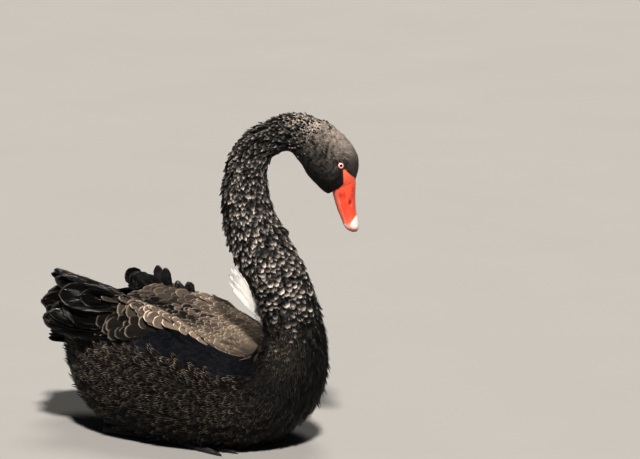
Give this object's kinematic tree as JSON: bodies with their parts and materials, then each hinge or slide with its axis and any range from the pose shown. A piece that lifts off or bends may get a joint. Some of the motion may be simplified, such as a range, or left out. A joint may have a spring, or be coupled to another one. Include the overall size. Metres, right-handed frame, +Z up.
{
  "type": "black swan",
  "caption": "Still life-size model of a black swan afloat, set on its belly: neck bent in a hook, head bowed, wings folded with curled tertials, feet tucked under.",
  "frame": {"origin": "on the floor, under the middle of the belly, on the flat that the belly rests on", "axes": "+X the way the breast faces, +Y the bird's left, +Z up"},
  "size_m": [0.4958, 0.248, 0.476],
  "materials": {
    "black_plumage": "soft brownish black feathers with paler edges",
    "brown_mantle": "grey-brown feathers with pale fringes",
    "white_flight": "white flight feathers",
    "red_bill": "smooth waxy red horn",
    "pale_nail": "pale horn",
    "eye": "wet pale pink iris with a black pupil",
    "leg_skin": "scaly dark grey skin"
  },
  "bodies": {
    "root": {"torso": "black_plumage", "neck_lower": "black_plumage", "neck_middle": "black_plumage", "neck_upper": "black_plumage", "head": "black_plumage", "wing_left": "black_plumage", "wing_right": "black_plumage", "tail": "black_plumage", "scapulars_left": "brown_mantle", "scapulars_right": "brown_mantle", "primaries_left": "white_flight", "primaries_right": "white_flight", "wing_tuft_left": "white_flight", "bill_upper": "red_bill", "bill_lower": "red_bill", "bill_nail": "pale_nail", "eye_left": "eye", "eye_right": "eye", "shank_left": "leg_skin", "shank_right": "leg_skin", "foot_left": "leg_skin", "foot_right": "leg_skin"}
  },
  "joints": []
}
